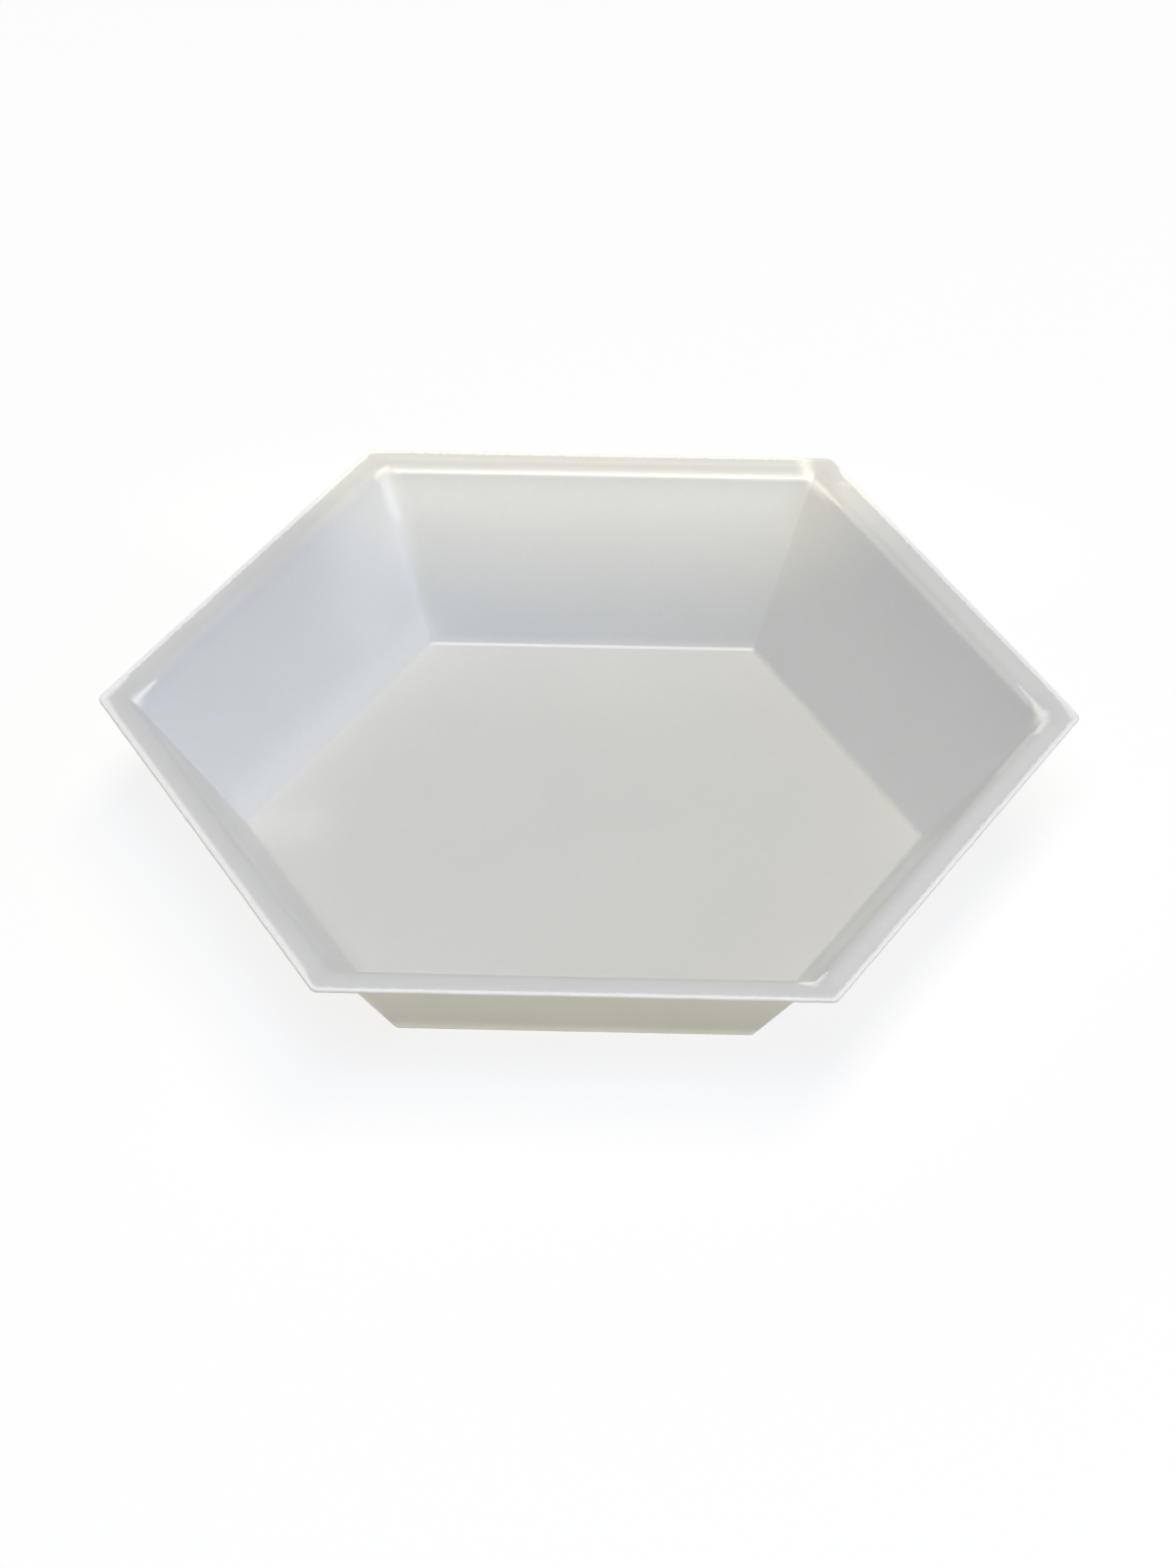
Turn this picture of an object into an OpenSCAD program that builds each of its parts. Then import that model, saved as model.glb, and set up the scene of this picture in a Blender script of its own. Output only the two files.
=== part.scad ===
// Hexagonal weighing dish: one thin plastic sheet, drawn into a flat floor and six sloping
// walls, with a flat flange round the mouth that ends in a cut edge.
// The sheet's section is swept round the hexagon as a stack of rounded rings: up the inside
// from the floor, over the flange, round the cut edge and back down the underside.
// Millimetres. The origin is the centre of the base, on the table, with +Z up. Two opposite
// corners lie on the X axis, so two walls face along Y.

/* [Outline] */
// Size over two opposite corners of the flange
rim_across_corners = 140; // [120:1:180]
// Size over two opposite corners of the floor, to where floor and wall planes would meet
floor_across_corners = 98.8; // [80:0.1:102]
// Height from the table to the top of the cut edge
height = 23.4; // [16:0.1:40]

/* [Sheet] */
// Thickness of the formed sheet
sheet_t = 0.35; // [0.2:0.05:0.7]

/* [Flange] */
// Width of the flange, from its cut edge to where flange and wall planes would meet
flange_w = 4.2; // [4:0.1:7]
// Radius of the bend from the flange into the wall, on the upper face
rim_bend_r = 2.2; // [1:0.1:3]
// Radius of the flange's six cut corners, seen from above
cut_corner_r = 1.2; // [0.3:0.1:4]
// Height of the ridge that the die pushes up along the cut edge
cut_ridge_h = 0.15; // [0.05:0.01:0.3]
// Width of that ridge
cut_ridge_w = 0.9; // [0.5:0.05:1.2]
// Rounding of the cut edge's upper corner
cut_round_r = 0.15; // [0.05:0.01:0.2]
// Inside radius of a corner where the flange starts to bend down
land_corner_r = 1.2; // [0.5:0.1:6]

/* [Walls and floor] */
// Radius of the bend from the wall into the floor, on the upper face
floor_bend_r = 0.9; // [0.6:0.1:5]
// Inside radius between two walls at the mouth
mouth_corner_r = 0.5; // [0.4:0.1:6]
// Inside radius between two walls at the floor
floor_corner_r = 0.8; // [0.5:0.1:8]

/* [Hidden] */

sides = 6;
half_side_angle = 180 / sides;
corner_steps = 8;
bend_steps = 9;
edge_steps = 4;
// A ring's corners never close to a point, so that no facet is empty
least_corner_r = 0.2;

// Distances from the centre to a side, and the heights, of the two places where planes meet
rim_a = across_flats(rim_across_corners) / 2;
mouth_a = rim_a - flange_w;
floor_a = across_flats(floor_across_corners) / 2;
flange_z = height - cut_ridge_h;
floor_z = sheet_t;

// The wall's slope from the horizontal, and how far each bend reaches along the planes it joins
slope = atan2(flange_z - floor_z, mouth_a - floor_a);
rim_reach = rim_bend_r * tan(slope / 2);
floor_reach = floor_bend_r * tan(slope / 2);

function across_flats(across_corners) = across_corners * cos(half_side_angle);

// The corner radius between two walls changes evenly from the floor up to the mouth
function wall_corner_r(a) =
    floor_corner_r + (mouth_corner_r - floor_corner_r) * (a - floor_a) / (mouth_a - floor_a);

// A station is [distance from the centre to a side, height, slope of the sheet, corner radius],
// all on the sheet's upper face
function floor_bend() = [
    for (i = [0 : bend_steps])
        let (tilt = slope * i / bend_steps,
             wall_end = floor_a + floor_reach * cos(slope),
             a = floor_a - floor_reach + floor_bend_r * sin(tilt))
        [a, floor_z + floor_bend_r * (1 - cos(tilt)), tilt, wall_corner_r(wall_end) - (wall_end - a)]
];

// Through the rim's bend the corner radius opens evenly from the wall's to the land's
function rim_bend() = [
    for (i = [0 : bend_steps])
        let (tilt = slope * (1 - i / bend_steps),
             wall_end = mouth_a - rim_reach * cos(slope),
             land_start = mouth_a + rim_reach,
             a = land_start - rim_bend_r * sin(tilt),
             wall_r = wall_corner_r(wall_end))
        [a, flange_z - rim_bend_r * (1 - cos(tilt)), tilt,
         wall_r + (land_corner_r - wall_r) * (a - wall_end) / (land_start - wall_end)]
];

formed_sheet = concat(floor_bend(), rim_bend());

// The inner flank of the ridge rises from the flange in half a cosine wave, and its crest
// rounds over into the upright cut face
function ridge() = [
    for (i = [0 : edge_steps])
        let (share = i / edge_steps,
             a = rim_a - cut_ridge_w + (cut_ridge_w - cut_round_r) * share)
        [a, flange_z + cut_ridge_h * (1 - cos(180 * share)) / 2, cut_corner_r - (rim_a - a)]
];

function cut_face() = concat(
    [
        for (i = [1 : edge_steps])
            let (turn = 90 * i / edge_steps,
                 a = rim_a - cut_round_r * (1 - sin(turn)))
            [a, height - cut_round_r * (1 - cos(turn)), cut_corner_r - (rim_a - a)]
    ],
    [[rim_a, flange_z - sheet_t, cut_corner_r]]
);

// The two faces of the formed sheet, as [distance to a side, height, corner radius]. The
// underside lies one thickness away, square to the sheet.
function upper_face() = [for (s = formed_sheet) [s[0], s[1], s[3]]];

function underside() = [
    for (i = [len(formed_sheet) - 1 : -1 : 0])
        let (s = formed_sheet[i], out = sheet_t * sin(s[2]))
        [s[0] + out, s[1] - sheet_t * cos(s[2]), s[3] + out]
];

// A hexagon at height z with sides at distance a and corners rounded to r, counter-clockwise
function ring(a, z, r) =
    let (round_r = max(r, least_corner_r),
         corner_d = (a - round_r) / cos(half_side_angle))
    [
        for (side = [0 : sides - 1], i = [0 : corner_steps])
            let (middle = side * 2 * half_side_angle,
                 turn = middle + half_side_angle * (2 * i / corner_steps - 1))
            [corner_d * cos(middle) + round_r * cos(turn), corner_d * sin(middle) + round_r * sin(turn), z]
    ];

// One closed skin through a stack of stations, with a flat cap on the first and on the last
module swept_skin(stations) {
    ring_points = sides * (corner_steps + 1);
    last = len(stations) - 1;
    points = [for (s = stations) each ring(s[0], s[1], s[2])];
    skin = [
        for (i = [0 : last - 1], j = [0 : ring_points - 1])
            let (near = i * ring_points, far = near + ring_points, next = (j + 1) % ring_points)
            [near + j, near + next, far + next, far + j]
    ];
    first_cap = [for (j = [ring_points - 1 : -1 : 0]) j];
    last_cap = [for (j = [0 : ring_points - 1]) last * ring_points + j];
    polyhedron(points, concat(skin, [first_cap, last_cap]), convexity = 4);
}

module dish() {
    color([0.93, 0.94, 0.92])
        swept_skin(concat(upper_face(), ridge(), cut_face(), underside()));
}

dish();
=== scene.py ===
# Hexagonal weighing dish: one sheet of white polystyrene, drawn hot into a flat floor, six
# sloping walls and a flat flange, and cut out with a die. Metres, with the base at z = 0.
import math

import bpy
import numpy as np
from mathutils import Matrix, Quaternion, Vector


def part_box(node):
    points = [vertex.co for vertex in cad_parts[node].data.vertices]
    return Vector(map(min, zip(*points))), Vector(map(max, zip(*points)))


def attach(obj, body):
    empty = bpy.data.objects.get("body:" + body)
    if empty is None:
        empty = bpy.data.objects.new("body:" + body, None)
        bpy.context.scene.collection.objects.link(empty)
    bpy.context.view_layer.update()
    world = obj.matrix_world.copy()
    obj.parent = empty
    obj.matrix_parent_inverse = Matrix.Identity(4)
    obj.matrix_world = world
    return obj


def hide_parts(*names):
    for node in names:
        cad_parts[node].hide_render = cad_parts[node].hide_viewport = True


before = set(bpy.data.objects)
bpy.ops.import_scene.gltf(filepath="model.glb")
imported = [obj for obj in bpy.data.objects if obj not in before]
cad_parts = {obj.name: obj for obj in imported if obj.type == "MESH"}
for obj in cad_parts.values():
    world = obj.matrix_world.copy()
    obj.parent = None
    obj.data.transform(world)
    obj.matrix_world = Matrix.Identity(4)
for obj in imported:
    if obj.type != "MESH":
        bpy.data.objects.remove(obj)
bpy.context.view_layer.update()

dishLow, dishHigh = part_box("dish")
print("frame loaded, dish box", [round(v, 5) for v in (*dishLow, *dishHigh)])

# What the sheet is: the outline comes from the node's own box, the rest is set here
sheet = {
    "rimReach": dishHigh.y,          # centre to a side of the cut edge
    "height": dishHigh.z,            # table to the crest of the cut edge
    "floorReach": 0.04255,           # centre to where floor and wall planes would meet
    "flangeWidth": 0.0042,           # cut edge to where flange and wall planes would meet
    "thickness": 0.00035,
    "rimBend": 0.0022,               # radius from flange to wall, upper face
    "floorBend": 0.0010,             # radius from wall to floor, upper face
    "flangeCorner": 0.0011,          # radius of a corner where the flange starts to bend
    "mouthCorner": 0.0004,           # radius between two walls at the mouth
    "floorCorner": 0.0009,           # radius between two walls at the floor
    "cutCorner": 0.0012,             # radius of the flange's six corners
    "ridgeHeight": 0.00015,          # the die lifts a ridge along the cut
    "ridgeWidth": 0.0009,
    "cutRound": 0.00015,             # radius between the ridge and the cut face
    "arcSteps": 12,                  # steps round each corner
    "sideSteps": 64,                 # steps along each side
    "crowding": 0.75,                # how far a side's points crowd towards its ends, 0 to 1
    "floorPoints": 20,               # points of each stretch of the section, from the centre outwards
    "floorBendPoints": 13,
    "wallPoints": 24,
    "rimBendPoints": 19,
    "landPoints": 9,
    "ridgePoints": 9,
    "roundPoints": 6,
    "facePoints": 4,
    "floorSpacing": 1.8,             # above 1, the floor's rings lie closer near its rim
    "floorSkip": 3,                  # the underside's floor has one ring for so many of those
    "floorCornerStart": 0.3,         # share of the corner radius that the floor bend starts with
    "leastCorner": 0.00002,          # no corner is sharper, so that a ring's points stay apart
    "mostCorner": 0.9,               # nor rounder than this share of its reach
}

# How far the real sheet departs from the drawing
slack = {
    "seed": 41,
    "flangeWave": 0.00004,           # rise and fall of the flange round the rim
    "flangeWaves": (2, 3, 5, 7),     # waves in one turn
    "wallBelly": 0.00014,            # the walls belly outwards between their corners
    "bellyTop": 2.6,                 # zone where the belly ends
    "bellyLeast": 0.6,               # share of it that the flattest wall has
    "floorShift": (-0.00062, -0.00020),   # how far the floor sits off centre
    "floorDome": 0.00022,            # the floor stands clear of the table at its middle
    "edgeRag": 0.000025,             # unevenness of the die cut
    "edgeWaves": (31, 47, 64, 83, 101, 127),
    "edgeWavesSum": 3.0,             # what the sum of those waves seldom passes
    "edgeFrom": 2.75,                # zone where the unevenness begins
    "softCorners": (                 # azimuth and extra mouth radius of corners not drawn down sharp
        (120.0, 0.0040),
        (240.0, 0.0018),
    ),
    "softCornerArc": 20.0,           # degrees from such a corner to where its softness ends
    "softCornerRise": 0.6,           # share of the wall over which it comes in
    "softJoint": (209.0, 12.0, 30.0),    # where the floor's bend stayed soft: azimuth, half the arc
                                     # where it is soft all through and half the arc where it ends
    "softJointBend": 0.0040,         # the bend's radius there
    "plainEdges": (                  # where the white band along the cut is narrower: arcs given in the same
        ((60.3, 0.6, 3.6), 0.0007),  # way, and how far out the white band is moved there
        ((90.0, 26.0, 30.0), 0.00012),
    ),
    "bentCorner": 60.0,              # azimuth of the corner that has been bent, degrees
    "bentApex": 0.0638,              # distance of the bend's apex from the axis
    "bentAngles": (50.0, 73.0),      # from the corner's diagonal to the crease on either side
    "bentSlope": 0.04,               # how steeply the corner turns down
    "creaseWidth": 0.00035,
    "creaseWhite": 0.25,             # how far the creases are whitened
    "creaseTail": 0.002,             # how far inside the apex that still shows
    "bendFrom": (1.9, 2.1),          # zones between which the bend of that corner comes in
    "drawnTo": (1.87, 1.95),         # zones between which the sheet stops being drawn
    "faceBelow": 0.0002,             # below the crest, where the cut face's whitening starts to fade
    "faceFade": 5.0,                 # how much faster it fades there than across the flange
}

# White marks where the sheet was strained, which at the mouth's corners also paint the glints there, and
# broad strokes of painted light and painted highlight along bends, walls, joints and flanges, all as strokes
# in a corner's own frame: the corner's azimuth, the start and the end as (distance out along the diagonal,
# distance aside), the width at each and the strength. Lengths are in mm.
strainMarksAndPaintedLight = [
    (180, (64.7, -0.2), (63.9, -1.8), (0.50, 0.32), 1.0),
    (180, (63.9, -1.8), (62.2, -4.9), (0.32, 0.15), 0.8),
    (180, (69.3, 0.0), (66.3, -5.2), (0.75, 0.40), 1.0),
    (180, (69.3, 0.0), (66.3, 5.2), (0.75, 0.30), 1.0),
    (180, (66.3, 5.2), (36.5, 57.0), (0.45, 0.60), 1.0),
    # painted light: lightens the shaded top of the front-left wall and its bend
    (180, (62.0, 3.2), (34.5, 50.9), (0.80, 0.80), 0.16),
    # painted light: the floor lighter towards the left corner
    (180, (48.0, 0.0), (42.0, 0.0), (5.00, 5.00), 0.18),
    (0, (63.5, 3.4), (64.6, 0.6), (0.30, 0.65), 1.0),
    (0, (61.35, 7.4), (63.5, 3.4), (0.12, 0.30), 0.8),
    (0, (64.6, 0.6), (64.8, -0.9), (0.90, 0.75), 1.2),
    (0, (64.8, -0.9), (63.75, -3.5), (0.80, 0.50), 0.95),
    # the next five are painted light: the front-right bend near the corner and along it, the front-right
    # flange, the back-right bend and the back-right flange
    (0, (62.8, -2.8), (57.5, -11.8), (1.00, 1.00), 0.55),
    (0, (62.6, -3.4), (34.0, -52.9), (1.00, 1.00), 0.15),
    (0, (66.0, -3.3), (35.0, -57.0), (1.50, 1.50), 0.24),
    (0, (62.8, 3.85), (36.8, 48.9), (0.50, 0.50), 0.28),
    (0, (64.0, 6.0), (37.0, 52.7), (1.60, 1.60), 0.20),
    (0, (69.3, 0.0), (67.5, 3.6), (0.90, 0.40), 0.9),
    (300, (65.3, -1.0), (64.6, -2.4), (0.75, 0.35), 1.1),
    (300, (65.3, -1.0), (64.5, 0.7), (0.75, 0.60), 1.1),
    (300, (64.5, 0.7), (64.2, 1.9), (0.60, 0.25), 1.0),
    # painted light: a lighter band at the middle height of the front-right wall
    (300, (53.5, 8.5), (40.6, 30.5), (4.50, 4.50), 0.28),
    (120, (63.8, 2.1), (64.7, 0.7), (0.30, 0.50), 0.55),
    (120, (64.7, 0.7), (65.0, -0.5), (0.50, 0.40), 0.6),
    # white down the back-left crease, partly painted light
    (120, (64.0, 0.6), (60.5, 0.3), (1.30, 1.00), 0.35),
    (120, (50.8, -0.2), (49.4, -0.2), (0.60, 0.60), 0.25),
    # painted light on the back-left wall beside the crease, then a painted highlight along the back-left
    # joint of floor and wall
    (120, (56.0, 9.5), (49.0, 11.5), (8.00, 7.00), 0.17),
    (120, (50.2, 1.1), (26.0, 43.0), (2.00, 2.00), 0.25),
    (60, (64.5, 0.3), (65.6, 1.7), (0.50, 1.00), 0.85),
    (60, (65.6, 1.7), (67.3, 3.2), (1.00, 1.40), 0.80),
    (60, (65.2, -4.5), (66.2, -6.2), (0.60, 0.85), 0.55),
    (60, (64.5, 0.0), (62.8, -3.3), (0.45, 0.35), 0.9),
    (60, (62.8, -3.3), (61.0, -6.7), (0.35, 0.15), 0.7),
    # painted light on the back flange and on the top of the back wall, then a painted highlight along the
    # back joint of floor and wall
    (60, (66.0, 3.3), (35.0, 57.0), (0.80, 0.80), 0.27),
    (60, (60.5, 3.5), (32.0, 53.0), (2.20, 2.20), 0.15),
    (60, (48.5, 0.8), (24.6, 42.2), (0.28, 0.28), 0.40),
    # painted highlight: the bright line along the front of the base
    (240, (50.0, 0.3), (25.0, 43.2), (1.10, 1.10), 1.2),
]


def hexagonDirections(s):
    # Points round a hexagon, counter-clockwise from the corner on +X. A rounded hexagon is the
    # sharp hexagon of its corner centres plus a circle: place = (a - r) / cos 30 * centre + r * outward,
    # where a is the reach, r the corner radius, centre runs corner to corner in straight lines and
    # outward is the unit normal.
    arc = np.linspace(-30.0, 30.0, s["arcSteps"] + 1)
    t = np.linspace(0.0, 1.0, s["sideSteps"] + 1)[1:-1]
    along = t - s["crowding"] * np.sin(2 * np.pi * t) / (2 * np.pi)
    normal = np.concatenate([arc, np.full(along.size, 30.0)])
    share = np.concatenate([np.zeros(arc.size), along])
    corner = np.repeat(np.arange(6) * 60.0, normal.size)
    normal = np.radians(np.tile(normal, 6) + corner)
    share = np.tile(share, 6)[:, None]
    here = np.stack([np.cos(np.radians(corner)), np.sin(np.radians(corner))], 1)
    there = np.stack([np.cos(np.radians(corner + 60)), np.sin(np.radians(corner + 60))], 1)
    outward = np.stack([np.cos(normal), np.sin(normal)], 1)
    return here * (1 - share) + there * share, outward


def sheetProfile(s):
    # The section as columns: reach (centre to a side), level, corner radius and zone, where zone is 0
    # at the centre, 1 where the floor ends, 2 where the flange begins and 3 at the cut edge. The upper
    # face is followed outwards, then the underside back in. Between two planes that meet at the slope
    # angle, a bend of radius R holds reach = start + R sin(lean), level = R (1 - cos(lean)).
    flangeLevel = s["height"] - s["ridgeHeight"]
    floorLevel = s["thickness"]
    mouth = s["rimReach"] - s["flangeWidth"]
    slope = math.atan2(flangeLevel - floorLevel, mouth - s["floorReach"])
    floorStart = s["floorReach"] - s["floorBend"] * math.tan(slope / 2)
    rimEnd = mouth + s["rimBend"] * math.tan(slope / 2)

    lean = slope * np.linspace(0, 1, s["floorBendPoints"])
    floorTurn = np.stack([floorStart + s["floorBend"] * np.sin(lean),
                          floorLevel + s["floorBend"] * (1 - np.cos(lean)), lean], 1)
    lean = slope * np.linspace(1, 0, s["rimBendPoints"])
    rimTurn = np.stack([rimEnd - s["rimBend"] * np.sin(lean),
                        flangeLevel - s["rimBend"] * (1 - np.cos(lean)), lean], 1)
    step = np.linspace(0, 1, s["wallPoints"])[1:-1, None]
    wall = floorTurn[-1] * (1 - step) + rimTurn[0] * step
    formed = np.concatenate([floorTurn, wall, rimTurn])

    # the corner radius changes evenly from the floor to the mouth, and again through the rim's bend
    cornerR = np.interp(formed[:, 0], [s["floorReach"], rimTurn[0, 0], rimEnd],
                        [s["floorCorner"], s["mouthCorner"], s["flangeCorner"]])
    cornerR[:s["floorBendPoints"]] *= np.linspace(s["floorCornerStart"], 1, s["floorBendPoints"])
    length = np.concatenate([[0], np.cumsum(np.hypot(*np.diff(formed[:, :2], axis=0).T))])
    formedZone = 1 + length / length[-1]

    def flange(reach, level):
        # part of the section beyond the rim's bend, at one height or a height for each point
        zone = 2 + (reach - rimEnd) / (s["rimReach"] - rimEnd)
        radius = np.maximum(s["cutCorner"] - (s["rimReach"] - reach), s["flangeCorner"] * (3 - zone))
        return np.stack([reach, level + 0 * reach, radius, zone], 1)

    floorIn = 1 - (1 - np.linspace(0, 1, s["floorPoints"])[1:-1]) ** s["floorSpacing"]
    upperFloor = np.stack([floorStart * floorIn, np.full(floorIn.size, floorLevel),
                           cornerR[0] * floorIn, floorIn], 1)
    upperFormed = np.stack([formed[:, 0], formed[:, 1], cornerR, formedZone], 1)
    ridgeStart = s["rimReach"] - s["ridgeWidth"]
    upperLand = flange(np.linspace(rimEnd, ridgeStart, s["landPoints"])[1:-1], flangeLevel)
    share = np.linspace(0, 1, s["ridgePoints"])
    upperRidge = flange(ridgeStart + (s["ridgeWidth"] - s["cutRound"]) * share,
                        flangeLevel + s["ridgeHeight"] * (1 - np.cos(np.pi * share)) / 2)
    turn = np.radians(np.linspace(0, 90, s["roundPoints"])[1:])
    cutRound = flange(s["rimReach"] - s["cutRound"] * (1 - np.sin(turn)),
                      s["height"] - s["cutRound"] * (1 - np.cos(turn)))
    low = flangeLevel - s["thickness"]
    faceLevel = np.linspace(s["height"] - s["cutRound"], low, s["facePoints"])[1:]
    cutFace = flange(np.full(faceLevel.size, s["rimReach"]), faceLevel)

    # the underside lies one thickness away, square to the sheet
    out = s["thickness"] * np.sin(formed[:, 2])
    down = s["thickness"] * np.cos(formed[:, 2])
    lowerFormed = np.stack([formed[:, 0] + out, formed[:, 1] - down, cornerR + out, formedZone], 1)[::-1]
    lowerLand = flange(np.linspace(s["rimReach"], rimEnd, s["landPoints"] + 1)[1:-1], low)
    lowerFloor = upperFloor[::-s["floorSkip"]].copy()
    lowerFloor[:, 1] = 0
    return np.concatenate([upperFloor, upperFormed, upperLand, upperRidge, cutRound,
                           cutFace, lowerLand, lowerFormed, lowerFloor])


def turnBetween(bearing, middle):
    # how far a bearing is from another, either way round, in degrees
    return np.abs((bearing - middle + 180) % 360 - 180)


def arcShare(bearing, arc):
    # 1 inside an arc and 0 outside it with a smooth change between. The arc is given as its middle,
    # half of what is all 1 and half of what isn't 0, in degrees.
    middle, whole, end = arc
    share = np.clip((end - turnBetween(bearing, middle)) / (end - whole), 0, 1)
    return share ** 2 * (3 - 2 * share)


def sheetSurface(s, d, marks):
    # Point j of ring i lies at (reach - r) / cos 30 * centre + r * outward, at its level, where reach,
    # r and level belong to i and j, and centre and outward to j. Each point then moves by the sheet's
    # slack, which is the same on both faces so that the wall keeps its thickness.
    centre, outward = hexagonDirections(s)
    bearing = np.degrees(np.arctan2(centre[:, 1], centre[:, 0]))[None]
    # along one side the section is mixed with one whose floor bend has a larger radius
    mix = arcShare(bearing, d["softJoint"])
    sharpSection = sheetProfile(s).T[:, :, None]
    softSection = sheetProfile({**s, "floorBend": d["softJointBend"]}).T[:, :, None]
    reach, level, radius, zone = sharpSection * (1 - mix) + softSection * mix

    # some corners stay soft at the mouth, and tighten down the wall
    for corner, extra in d["softCorners"]:
        fromSoft = turnBetween(bearing, corner)
        near = np.clip(1 - fromSoft / d["softCornerArc"], 0, 1) ** 2
        high = np.clip((zone - 1) / d["softCornerRise"], 0, 1) * np.clip(3 - zone, 0, 1)
        radius = radius + extra * near * high
    radius = np.clip(radius, s["leastCorner"], s["mostCorner"] * reach)
    flat = ((reach - radius) / math.cos(math.radians(30)))[..., None] * centre[None]
    flat = flat + radius[..., None] * outward[None]
    rise = level.copy()
    azimuth = np.arctan2(flat[..., 1], flat[..., 0])

    draw = np.random.default_rng(d["seed"])
    # flange: a few slow waves round the rim, none at the foot of the wall
    wave = sum(np.cos(k * azimuth + draw.uniform(0, 2 * np.pi)) / k for k in d["flangeWaves"])
    rise += d["flangeWave"] * np.clip(zone - 1, 0, 1) ** 2 * wave
    # walls: a belly, zero at the floor, at the cut edge and at the corners
    up = np.sin(np.pi * np.clip((zone - 1) / (d["bellyTop"] - 1), 0, 1))
    offMiddle = np.abs(np.degrees(azimuth) % 60 - 30) / 30
    side = (np.degrees(azimuth) % 360 // 60).astype(int) % 6
    belly = draw.uniform(d["bellyLeast"], 1.0, 6)[side] * (1 - offMiddle ** 2) ** 2
    flat += (d["wallBelly"] * belly * up)[..., None] * outward[None]
    # the whole floor sits a little off centre, and the walls make up the difference
    flat += np.clip(2 - zone, 0, 1)[..., None] * np.array(d["floorShift"])
    # floor: a shallow dome that never goes below the table
    rise += d["floorDome"] * np.cos(np.pi / 2 * np.clip(zone, 0, 1)) ** 2
    # cut edge: small seeded unevenness along the die line
    turns = np.arange(len(centre)) / len(centre) * 2 * np.pi
    rag = sum(np.cos(k * turns + draw.uniform(0, 2 * np.pi)) for k in d["edgeWaves"])
    rag = rag / d["edgeWavesSum"]
    atEdge = np.clip((zone - d["edgeFrom"]) / (3 - d["edgeFrom"]), 0, 1)
    flat += (d["edgeRag"] * atEdge * rag[None])[..., None] * outward[None]
    # bent corner: past two creases that spread from the apex, the flange turns down
    a = math.radians(d["bentCorner"])
    ahead = flat @ np.array([math.cos(a), math.sin(a)]) - d["bentApex"]
    across = flat @ np.array([-math.sin(a), math.cos(a)])
    left, right = np.radians(d["bentAngles"])
    past = np.minimum(ahead * math.sin(left) - across * math.cos(left),
                      ahead * math.sin(right) + across * math.cos(right))
    w = d["creaseWidth"]
    first, last = d["bendFrom"]
    onFlange = np.clip((zone - first) / (last - first), 0, 1)
    # log(1 + exp x) turns the slope on over the crease's width; the clip keeps exp in range
    rise -= d["bentSlope"] * onFlange * w * np.log1p(np.exp(np.clip(past / w, -40, 40)))
    whitenedAndPaintedLight = d["creaseWhite"] * np.exp(-(past / w) ** 2) * onFlange * (ahead > -d["creaseTail"])
    # strain marks, painted glints and strokes of painted light and painted highlight: exp(-(distance to the
    # stroke / its width there) ** 2), worked out in mm
    for corner, start, end, widths, strength in marks:
        a = math.radians(corner)
        frameAxes = np.array([[math.cos(a), -math.sin(a)], [math.sin(a), math.cos(a)]])
        here = flat @ frameAxes * 1000 - start
        line = np.subtract(end, start)
        share = np.clip(here @ line / (line @ line), 0, 1)
        away = np.hypot(*np.moveaxis(here - share[..., None] * line, -1, 0))
        stroke = np.exp(-(away / (widths[0] + (widths[1] - widths[0]) * share)) ** 2)
        whitenedAndPaintedLight = np.maximum(whitenedAndPaintedLight, strength * stroke)
    # the drawn share also sets where the flange's lower tone, partly painted shade, comes in
    first, last = d["drawnTo"]
    drawn = np.clip((last - zone) / (last - first), 0, 1)
    # distance in from the cut edge, which also grows down the cut face, so that the white fades there
    downFace = np.maximum(s["height"] - d["faceBelow"] - level, 0)
    fromEdge = s["rimReach"] - reach + d["faceFade"] * downFace
    for arc, moved in d["plainEdges"]:
        fromEdge = fromEdge + moved * arcShare(bearing, arc)
    place = np.concatenate([flat, rise[..., None]], 2)
    return place, {"whitenedAndPaintedLight": whitenedAndPaintedLight, "drawn": drawn, "fromEdge": fromEdge}


def closedSkin(name, place, marks):
    # A grid of rings joined by quads, with a fan to one centre point at each end. Each mark is a value
    # for each point, kept as an attribute of that name.
    rings, around = place.shape[:2]
    poles = [[0, 0, place[i, :, 2].mean()] for i in (0, -1)]
    verts = np.concatenate([place.reshape(-1, 3), poles])
    i, j = np.meshgrid(np.arange(rings - 1), np.arange(around), indexing="ij")
    k = (j + 1) % around
    quads = np.stack([i * around + j, (i + 1) * around + j, (i + 1) * around + k, i * around + k], -1)
    j = np.arange(around)
    k = (j + 1) % around
    last = (rings - 1) * around
    firstFan = np.stack([np.full(around, rings * around), j, k], 1)
    lastFan = np.stack([np.full(around, rings * around + 1), last + k, last + j], 1)
    loops = np.concatenate([quads.ravel(), firstFan.ravel(), lastFan.ravel()])
    sizes = np.concatenate([np.full(quads.size // 4, 4), np.full(2 * around, 3)])
    mesh = bpy.data.meshes.new(name)
    mesh.vertices.add(len(verts))
    mesh.vertices.foreach_set("co", verts.astype(np.float32).ravel())
    mesh.loops.add(len(loops))
    mesh.loops.foreach_set("vertex_index", loops.astype(np.int32))
    mesh.polygons.add(len(sizes))
    mesh.polygons.foreach_set("loop_start", (np.cumsum(sizes) - sizes).astype(np.int32))
    mesh.polygons.foreach_set("use_smooth", np.ones(len(sizes), bool))
    for mark, values in marks.items():
        filled = np.concatenate([values.ravel(), [values[0].mean()], [values[-1].mean()]])
        mesh.attributes.new(mark, "FLOAT", "POINT").data.foreach_set("value", filled.astype(np.float32))
    mesh.update(calc_edges=True)
    piece = bpy.data.objects.new(name, mesh)
    bpy.context.scene.collection.objects.link(piece)
    return piece


dish = closedSkin("drawnSheet", *sheetSurface(sheet, slack, strainMarksAndPaintedLight))
print("sheet made,", len(dish.data.polygons), "faces")

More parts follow.
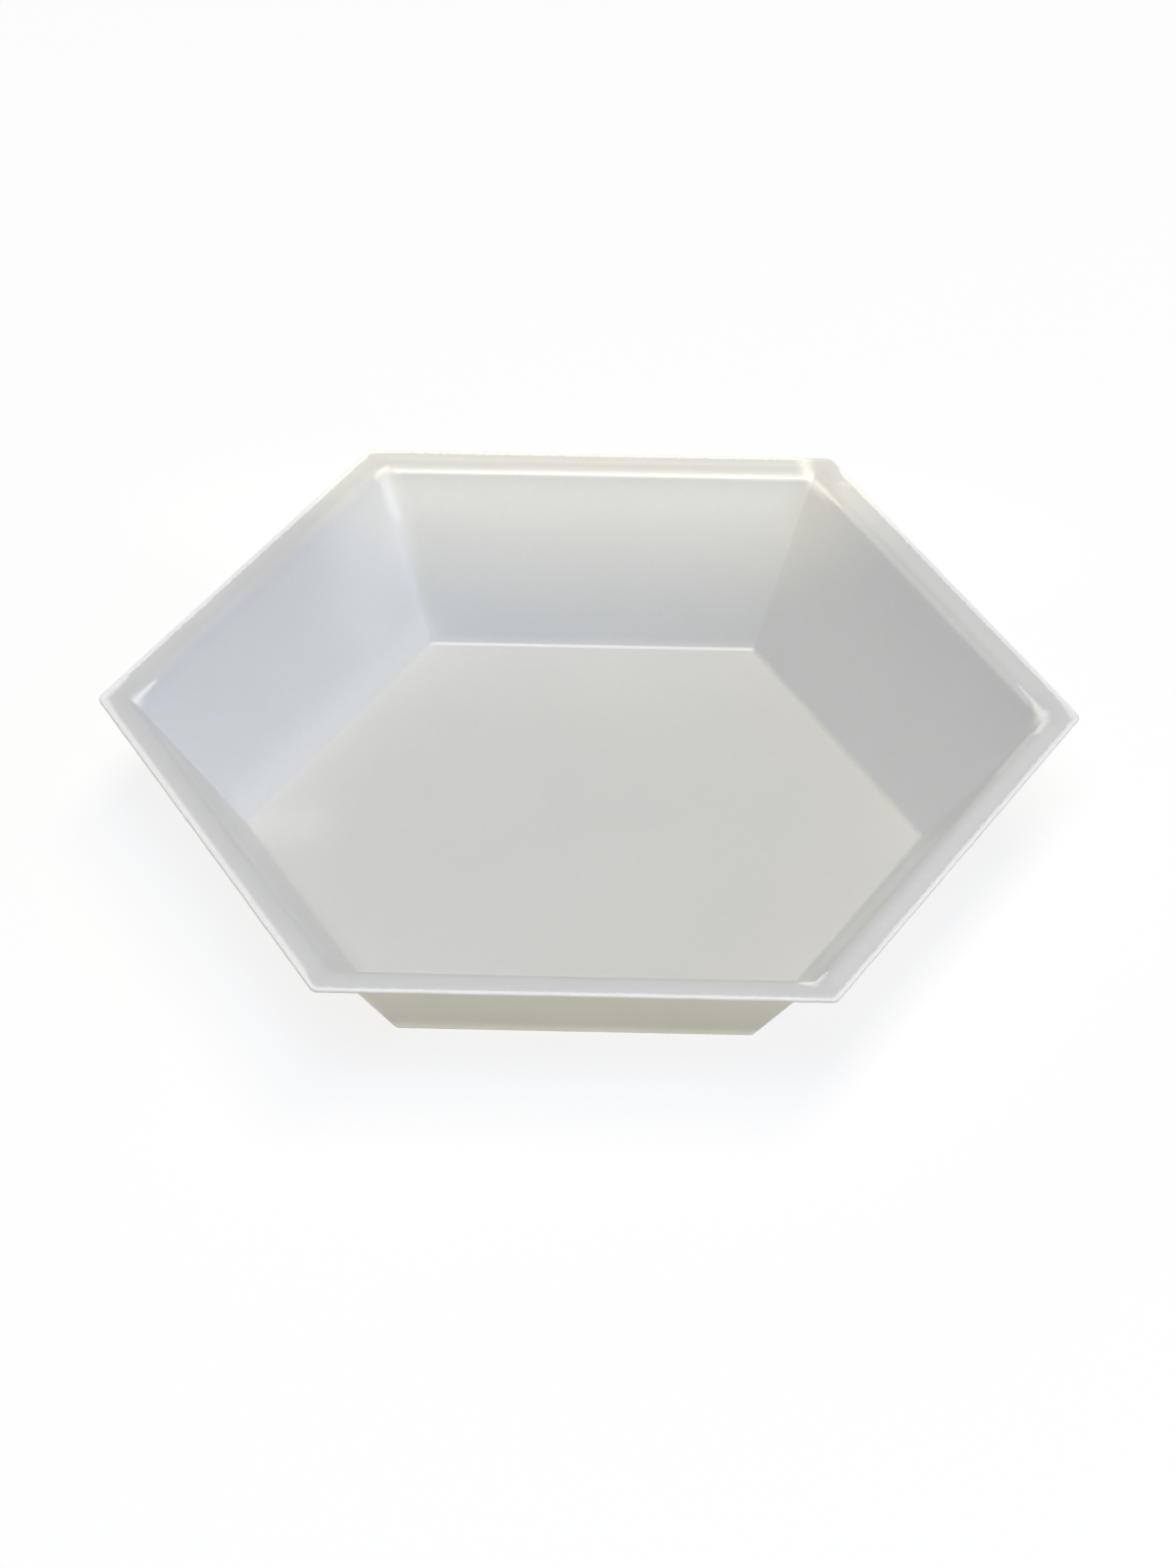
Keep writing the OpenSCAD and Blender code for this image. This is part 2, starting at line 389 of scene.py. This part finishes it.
finish = {
    # the flange's lower tone is partly painted shade, for the dark space under it seen through the thin
    # sheet
    "flat": (0.66, 0.66, 0.645, 1),      # the flange, which was only clamped
    "drawn": (0.70, 0.70, 0.68, 1),      # drawing whitens the sheet
    # white of strain marks and of the cut, and also the colour of the painted glints, painted highlights and
    # painted light
    "strainWhiteAndHighlight": (0.97, 0.965, 0.935, 1),  # where it was strained or cut
    "roughness": (0.30, 0.40),
    "ior": 1.59,
    "glowDepth": 0.0004,                 # how far light spreads inside the sheet
    "edgeWhite": (0.0004, 0.0010),       # the die's whitening is full here and gone there
    "edgeUneven": 0.0005,                # how far those limits wander either way
    "edgePale": (0.0040, 0.20),          # further in it only pales: to where, and how much at the edge
    "mottle": (45.0, 0.045),             # scale and strength of slow changes in tone
    "speckle": (1400.0, 0.045),          # the same for fine ones
    "ragged": (900.0, 4.0, 0.65),        # scale, detail and roughness of what breaks up the white marks
    "patchy": (0.3, 0.7, 0.75),          # that noise's low and high, and the share of white at its low
    "rubs": (120.0, 6.0, 0.70),          # scale, detail and roughness of the gloss's patches
    "rubLimits": (0.3, 0.7),             # that noise's values at the glossy and the dull end
    "peel": (650.0, 2.0),                # scale and detail of the orange peel
    "peelHeight": 0.000004,
    "wave": (60.0, 1.0),                 # and of the slow waves from forming
    "waveHeight": 0.00003,
}


def node(tree, kind, inputs=None, **settings):
    # add a node, set its fixed inputs and join its linked ones
    n = tree.nodes.new(kind)
    for key, value in settings.items():
        setattr(n, key, value)
    for key, value in (inputs or {}).items():
        if isinstance(value, bpy.types.NodeSocket):
            tree.links.new(value, n.inputs[key])
        else:
            n.inputs[key].default_value = value
    return n


def noiseNode(tree, place, shape):
    # noise of a scale, a detail and, as a third value if it is given, a roughness
    names = ("Scale", "Detail", "Roughness")
    return node(tree, "ShaderNodeTexNoise", {"Vector": place, **dict(zip(names, shape))})


def colourMix(tree, share, first, second):
    # in a mix of colours they are inputs 6 and 7, and output 2
    mix = node(tree, "ShaderNodeMix", {0: share, 6: first, 7: second}, data_type="RGBA")
    return mix.outputs[2]


def cloudGroup(detail, roughness):
    # a place, a tone and the clouds' scale and strength in; the tone a little lighter and darker out
    group = bpy.data.node_groups.new("clouding", "ShaderNodeTree")
    group.interface.new_socket("Vector", in_out="INPUT", socket_type="NodeSocketVector")
    group.interface.new_socket("Tone", in_out="INPUT", socket_type="NodeSocketColor")
    group.interface.new_socket("Scale", in_out="INPUT", socket_type="NodeSocketFloat")
    group.interface.new_socket("Strength", in_out="INPUT", socket_type="NodeSocketFloat")
    group.interface.new_socket("Tone", in_out="OUTPUT", socket_type="NodeSocketColor")
    entry = group.nodes.new("NodeGroupInput")
    leave = group.nodes.new("NodeGroupOutput")
    noise = noiseNode(group, entry.outputs["Vector"], (entry.outputs["Scale"], detail, roughness))
    centred = node(group, "ShaderNodeMath", {0: noise.outputs["Fac"], 1: 0.5}, operation="SUBTRACT")
    gain = node(group, "ShaderNodeMath", {0: centred.outputs[0], 1: entry.outputs["Strength"], 2: 1.0},
                operation="MULTIPLY_ADD")
    scaled = node(group, "ShaderNodeVectorMath", {0: entry.outputs["Tone"], "Scale": gain.outputs[0]},
                  operation="SCALE")
    group.links.new(scaled.outputs[0], leave.inputs["Tone"])
    return group


clouding = cloudGroup(detail=3.0, roughness=0.55)


def cloudNode(tree, place, tone, clouds):
    # clouds is their scale and their strength
    return node(tree, "ShaderNodeGroup", {"Vector": place, "Tone": tone, "Scale": clouds[0],
                "Strength": clouds[1]}, node_tree=clouding)


def sheetMaterial(f):
    mat = bpy.data.materials.new("satinPolystyrene")
    mat.use_nodes = True
    tree = mat.node_tree
    tree.nodes.clear()
    plastic = node(tree, "ShaderNodeBsdfPrincipled", {"IOR": f["ior"], "Subsurface Weight": 1.0,
                   "Subsurface Radius": (1.0, 1.0, 1.0), "Subsurface Scale": f["glowDepth"]})
    node(tree, "ShaderNodeOutputMaterial", {"Surface": plastic.outputs["BSDF"]})
    place = node(tree, "ShaderNodeTexCoord").outputs["Object"]

    # tone: whiter where it was drawn, and darker on the flange, partly as painted shade; everywhere a little
    # cloudy
    drawn = node(tree, "ShaderNodeAttribute", attribute_name="drawn")
    tone = colourMix(tree, drawn.outputs["Fac"], f["flat"], f["drawn"])
    slow = cloudNode(tree, place, tone, f["mottle"])
    fine = cloudNode(tree, place, slow.outputs["Tone"], f["speckle"])

    # white: strain marks with painted glints and strokes of painted light and painted highlight, and along
    # the cut a band whose inner limit wanders
    ragged = noiseNode(tree, place, f["ragged"])
    uneven = node(tree, "ShaderNodeMath", {0: ragged.outputs["Fac"], 1: 0.5}, operation="SUBTRACT")
    fromEdge = node(tree, "ShaderNodeAttribute", attribute_name="fromEdge")
    reach = node(tree, "ShaderNodeMath", {0: uneven.outputs[0], 1: 2 * f["edgeUneven"],
                 2: fromEdge.outputs["Fac"]}, operation="MULTIPLY_ADD")
    band = node(tree, "ShaderNodeMapRange", {"Value": reach.outputs[0], "From Min": f["edgeWhite"][1],
                "From Max": f["edgeWhite"][0]}, interpolation_type="SMOOTHERSTEP")
    patchy = node(tree, "ShaderNodeMapRange", {"Value": ragged.outputs["Fac"], "From Min": f["patchy"][0],
                  "From Max": f["patchy"][1], "To Min": f["patchy"][2], "To Max": 1.0})
    strainAndPaintedLight = node(tree, "ShaderNodeAttribute", attribute_name="whitenedAndPaintedLight")
    pale = node(tree, "ShaderNodeMapRange", {"Value": fromEdge.outputs["Fac"], "From Max": f["edgePale"][0],
                "To Min": f["edgePale"][1], "To Max": 0.0})
    marked = node(tree, "ShaderNodeMath", {0: band.outputs[0], 1: strainAndPaintedLight.outputs["Fac"]},
                  operation="MAXIMUM")
    broken = node(tree, "ShaderNodeMath", {0: marked.outputs[0], 1: patchy.outputs[0]}, operation="MULTIPLY")
    white = node(tree, "ShaderNodeMath", {0: broken.outputs[0], 1: pale.outputs[0]}, operation="MAXIMUM")
    colour = colourMix(tree, white.outputs[0], fine.outputs["Tone"], f["strainWhiteAndHighlight"])
    tree.links.new(colour, plastic.inputs["Base Color"])

    # gloss: satin, uneven in patches, with fine rub marks
    rubs = noiseNode(tree, place, f["rubs"])
    gloss = node(tree, "ShaderNodeMapRange", {"Value": rubs.outputs["Fac"], "From Min": f["rubLimits"][0],
                 "From Max": f["rubLimits"][1], "To Min": f["roughness"][0], "To Max": f["roughness"][1]})
    tree.links.new(gloss.outputs[0], plastic.inputs["Roughness"])

    # relief: slow waves from the forming and a fine orange peel
    wave = noiseNode(tree, place, f["wave"])
    peel = noiseNode(tree, place, f["peel"])
    waveBump = node(tree, "ShaderNodeBump", {"Height": wave.outputs["Fac"], "Strength": 1.0,
                    "Distance": f["waveHeight"]})
    peelBump = node(tree, "ShaderNodeBump", {"Height": peel.outputs["Fac"], "Strength": 1.0,
                    "Distance": f["peelHeight"], "Normal": waveBump.outputs["Normal"]})
    tree.links.new(peelBump.outputs["Normal"], plastic.inputs["Normal"])
    return mat


dish.data.materials.append(sheetMaterial(finish))
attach(dish, "root")
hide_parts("dish")

table = {
    "size": 8.0,
    "drop": 0.00005,                     # the table lies this far below the base
    "tone": (0.33, 0.305, 0.235, 1),     # what lights the dish from below
    "mottle": (6.0, 0.02),               # scale and strength of its clouds
    "around": 1.24,                      # what the rest of the table adds to that
    "shown": 0.18,                       # share of the shown table that light and shadow act on
    "white": 0.83,                       # and what it is seen to give off
}


def tableTop(t):
    # The shown table is pale and takes shadows; a darker one lights the dish from below
    half = t["size"] / 2
    mesh = bpy.data.meshes.new("tableTop")
    corners = [(-half, -half), (half, -half), (half, half), (-half, half)]
    mesh.from_pydata([(x, y, -t["drop"]) for x, y in corners], [], [(0, 1, 2, 3)])
    top = bpy.data.objects.new("tableTop", mesh)
    bpy.context.scene.collection.objects.link(top)
    mat = bpy.data.materials.new("paleTable")
    mat.use_nodes = True
    tree = mat.node_tree
    tree.nodes.clear()
    place = node(tree, "ShaderNodeTexCoord").outputs["Object"]
    tone = cloudNode(tree, place, t["tone"], t["mottle"])
    reflected = node(tree, "ShaderNodeBsdfDiffuse", {"Color": tone.outputs["Tone"]})
    around = node(tree, "ShaderNodeEmission", {"Color": tone.outputs["Tone"], "Strength": t["around"]})
    bounce = node(tree, "ShaderNodeAddShader", {0: reflected.outputs[0], 1: around.outputs[0]})
    lit = node(tree, "ShaderNodeBsdfDiffuse", {"Color": (t["shown"],) * 3 + (1,)})
    glow = node(tree, "ShaderNodeEmission", {"Strength": t["white"]})
    shown = node(tree, "ShaderNodeAddShader", {0: lit.outputs[0], 1: glow.outputs[0]})
    path = node(tree, "ShaderNodeLightPath")
    direct = node(tree, "ShaderNodeMath", {0: path.outputs["Is Camera Ray"],
                  1: path.outputs["Is Glossy Ray"]}, operation="MAXIMUM")
    seen = node(tree, "ShaderNodeMath", {0: direct.outputs[0], 1: path.outputs["Is Transmission Ray"]},
                operation="MAXIMUM")
    both = node(tree, "ShaderNodeMixShader", {0: seen.outputs[0], 1: bounce.outputs[0],
                2: shown.outputs[0]})
    node(tree, "ShaderNodeOutputMaterial", {"Surface": both.outputs[0]})
    mesh.materials.append(mat)
    return top


tableTop(table)

view = {
    "place": (0.01678, -0.55611, 0.47897),
    "aim": (0.0, 0.0, 0.009),
    "lens": 115.9,                       # mm, and so is the sensor's width
    "sensor": 36.0,
    "nearest": 0.01,                     # nothing closer than this is shown
}

camera = bpy.data.objects.new("camera", bpy.data.cameras.new("camera"))
camera.data.lens = view["lens"]
camera.data.sensor_width = view["sensor"]
camera.data.clip_start = view["nearest"]
camera.location = view["place"]
towards = Vector(view["aim"]) - Vector(view["place"])
camera.rotation_mode = "QUATERNION"
camera.rotation_quaternion = towards.to_track_quat("-Z", "Y")
bpy.context.scene.collection.objects.link(camera)
bpy.context.scene.camera = camera
bpy.context.scene.view_settings.view_transform = "Standard"

# Where each lamp is, as azimuth and height in degrees and distance, then its size, watts and tone.
# The last one is a spot whose soft edge runs across the back wall, so that it picks out the rim.
lamps = {
    "overhead": {"from": (330, 80, 1.55), "size": (1.3, 0.45), "power": 14.0,
                 "tone": (1.0, 0.88, 0.60)},
    "front": {"from": (268, 62, 1.6), "size": (0.6, 0.45), "power": 9.7, "tone": (0.46, 0.63, 1.0)},
    "window": {"from": (342, 24, 1.5), "size": (1.2, 0.9), "power": 7.0, "tone": (0.46, 0.60, 1.0)},
    "behind": {"from": (120, 20, 1.4), "size": (0.9, 0.5), "power": 2.0, "tone": (0.55, 0.78, 1.0)},
    "left": {"from": (160, 25, 1.4), "size": (0.9, 0.6), "power": 1.4, "tone": (1.0, 0.80, 0.73)},
    "rimSpot": {"from": (271, 61, 0.45), "aim": (0, 0.060, 0.0195), "cone": 4.7, "edge": 0.7,
                "radius": 0.008, "stretch": 4.2, "roll": -2, "power": 2.5, "tone": (1.0, 0.89, 0.57)},
}
room = {
    "fill": 0.12,                        # what it adds to the lamps
    "shown": 1.0,                        # how bright it is behind the dish
}


def addLamp(name, l):
    azimuth, height, distance = l["from"]
    around = math.radians(azimuth)
    up = math.radians(height)
    away = Vector((math.cos(around) * math.cos(up), math.sin(around) * math.cos(up), math.sin(up)))
    data = bpy.data.lights.new(name, "SPOT" if "cone" in l else "AREA")
    if "cone" in l:
        data.spot_size = math.radians(l["cone"])
        data.spot_blend = l["edge"]
        data.shadow_soft_size = l["radius"]
    else:
        data.shape = "RECTANGLE"
        data.size, data.size_y = l["size"]
    data.energy = l["power"]
    data.color = l["tone"]
    lamp = bpy.data.objects.new(name, data)
    lamp.location = Vector(l.get("aim", (0, 0, 0))) + distance * away
    lamp.rotation_mode = "QUATERNION"
    roll = Quaternion((0, 0, 1), math.radians(l.get("roll", 0)))
    lamp.rotation_quaternion = (-away).to_track_quat("-Z", "Y") @ roll
    lamp.scale.x = l.get("stretch", 1)
    lamp.visible_camera = False
    bpy.context.scene.collection.objects.link(lamp)


for name, l in lamps.items():
    addLamp(name, l)

world = bpy.data.worlds.new("room")
world.use_nodes = True
tree = world.node_tree
tree.nodes.clear()
path = node(tree, "ShaderNodeLightPath")
fill = node(tree, "ShaderNodeBackground", {"Color": (1, 1, 1, 1), "Strength": room["fill"]})
backdrop = node(tree, "ShaderNodeBackground", {"Color": (1, 1, 1, 1), "Strength": room["shown"]})
both = node(tree, "ShaderNodeMixShader", {0: path.outputs["Is Camera Ray"], 1: fill.outputs[0],
            2: backdrop.outputs[0]})
node(tree, "ShaderNodeOutputWorld", {"Surface": both.outputs[0]})
bpy.context.scene.world = world
print("table, camera and lamps placed")
